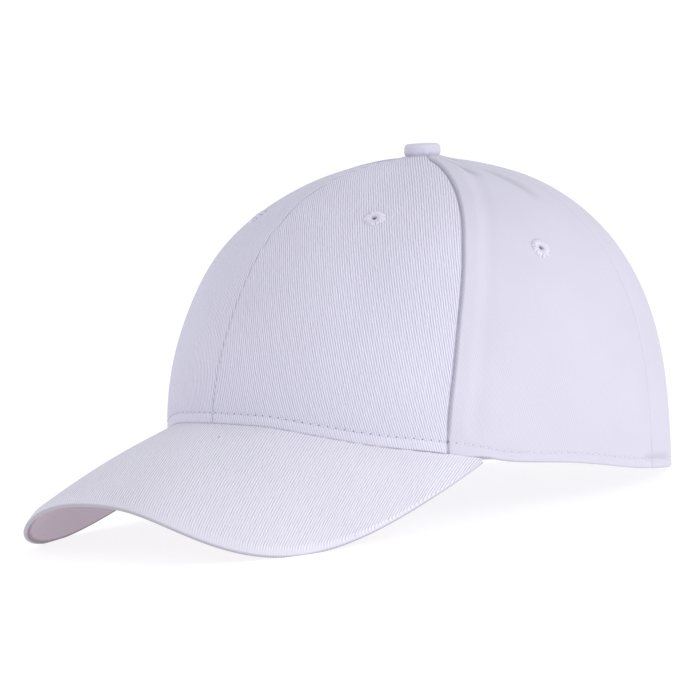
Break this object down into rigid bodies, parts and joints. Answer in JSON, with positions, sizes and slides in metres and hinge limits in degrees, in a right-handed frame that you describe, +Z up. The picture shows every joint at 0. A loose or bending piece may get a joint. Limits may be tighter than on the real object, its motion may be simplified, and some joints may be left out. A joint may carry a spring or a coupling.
{
  "type": "ponytail baseball cap",
  "caption": "Plain cotton twill cap with a panelled crown, a curved brim, a covered top button, sewn eyelets and an arched ponytail opening above a closing strap; it shades the eyes.",
  "frame": {"origin": "on the surface that the cap rests on, under the middle of its box", "axes": "+Z up, -Y the way the brim points, +X the wearer's left side"},
  "size_m": [0.1678, 0.26, 0.1325],
  "materials": {
    "crown_twill": "white cotton twill, matt, fine steep diagonal ribs",
    "brim_twill": "white cotton twill over a stiff board, matt",
    "sweatband_twill": "soft white cotton band, matt",
    "binding_tape": "white cotton bias binding, matt",
    "strap_twill": "white cotton twill strap, doubled and stitched, matt",
    "button_twill": "white twill drawn over a domed button",
    "eyelet_thread": "white embroidery thread, slightly glossy"
  },
  "bodies": {
    "root": {"front_panel_left": "crown_twill", "front_panel_right": "crown_twill", "side_panel_left": "crown_twill", "side_panel_right": "crown_twill", "back_panel_left": "crown_twill", "back_panel_right": "crown_twill", "brim": "brim_twill", "sweatband": "sweatband_twill", "opening_binding": "binding_tape", "strap_left": "strap_twill", "strap_right": "strap_twill", "top_button": "button_twill", "eyelet_front_left": "eyelet_thread", "eyelet_front_right": "eyelet_thread", "eyelet_side_left": "eyelet_thread", "eyelet_side_right": "eyelet_thread", "eyelet_back_left": "eyelet_thread", "eyelet_back_right": "eyelet_thread"}
  },
  "joints": []
}
